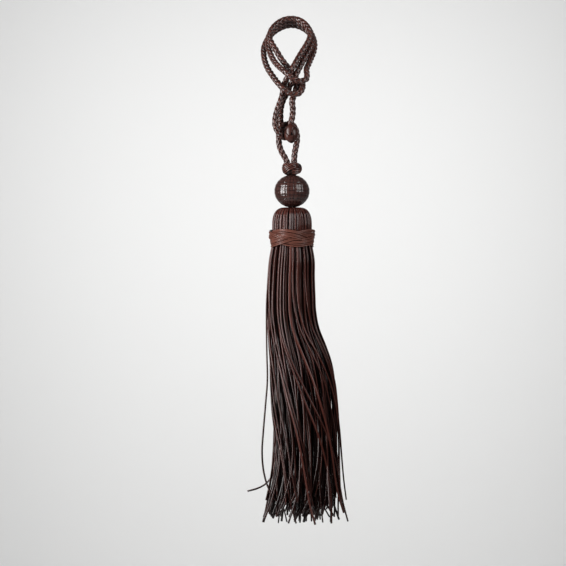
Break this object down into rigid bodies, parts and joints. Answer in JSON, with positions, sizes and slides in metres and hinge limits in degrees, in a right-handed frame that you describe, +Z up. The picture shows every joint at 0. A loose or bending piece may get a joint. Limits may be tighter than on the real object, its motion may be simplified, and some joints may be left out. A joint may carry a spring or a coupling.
{
  "type": "leather tassel tie-back",
  "caption": "Dark brown leather curtain tie-back: braided cord tied in a loop, woven ball, plaited neck band and a long skirt of hanging laces.",
  "frame": {"origin": "middle of the tie's loop, where it goes round the gathered cloth", "axes": "+X to the viewer's right, +Y away from the viewer, +Z up along the hanging tassel"},
  "size_m": [0.106, 0.0702, 0.5104],
  "materials": {
    "braid": "satin braided leather, dark reddish brown",
    "smooth": "smooth satin leather lace, dark reddish brown",
    "woven": "glossy woven leather, very dark brown",
    "plait": "satin plaited laces, reddish brown",
    "lace": "satin leather lace, dark chocolate brown"
  },
  "bodies": {
    "root": {"tie_cord": "braid", "eye_cord": "braid", "button_knot": "smooth", "crown_knot": "braid", "ball": "woven", "skirt": "lace", "neck_band": "plait"}
  },
  "joints": []
}
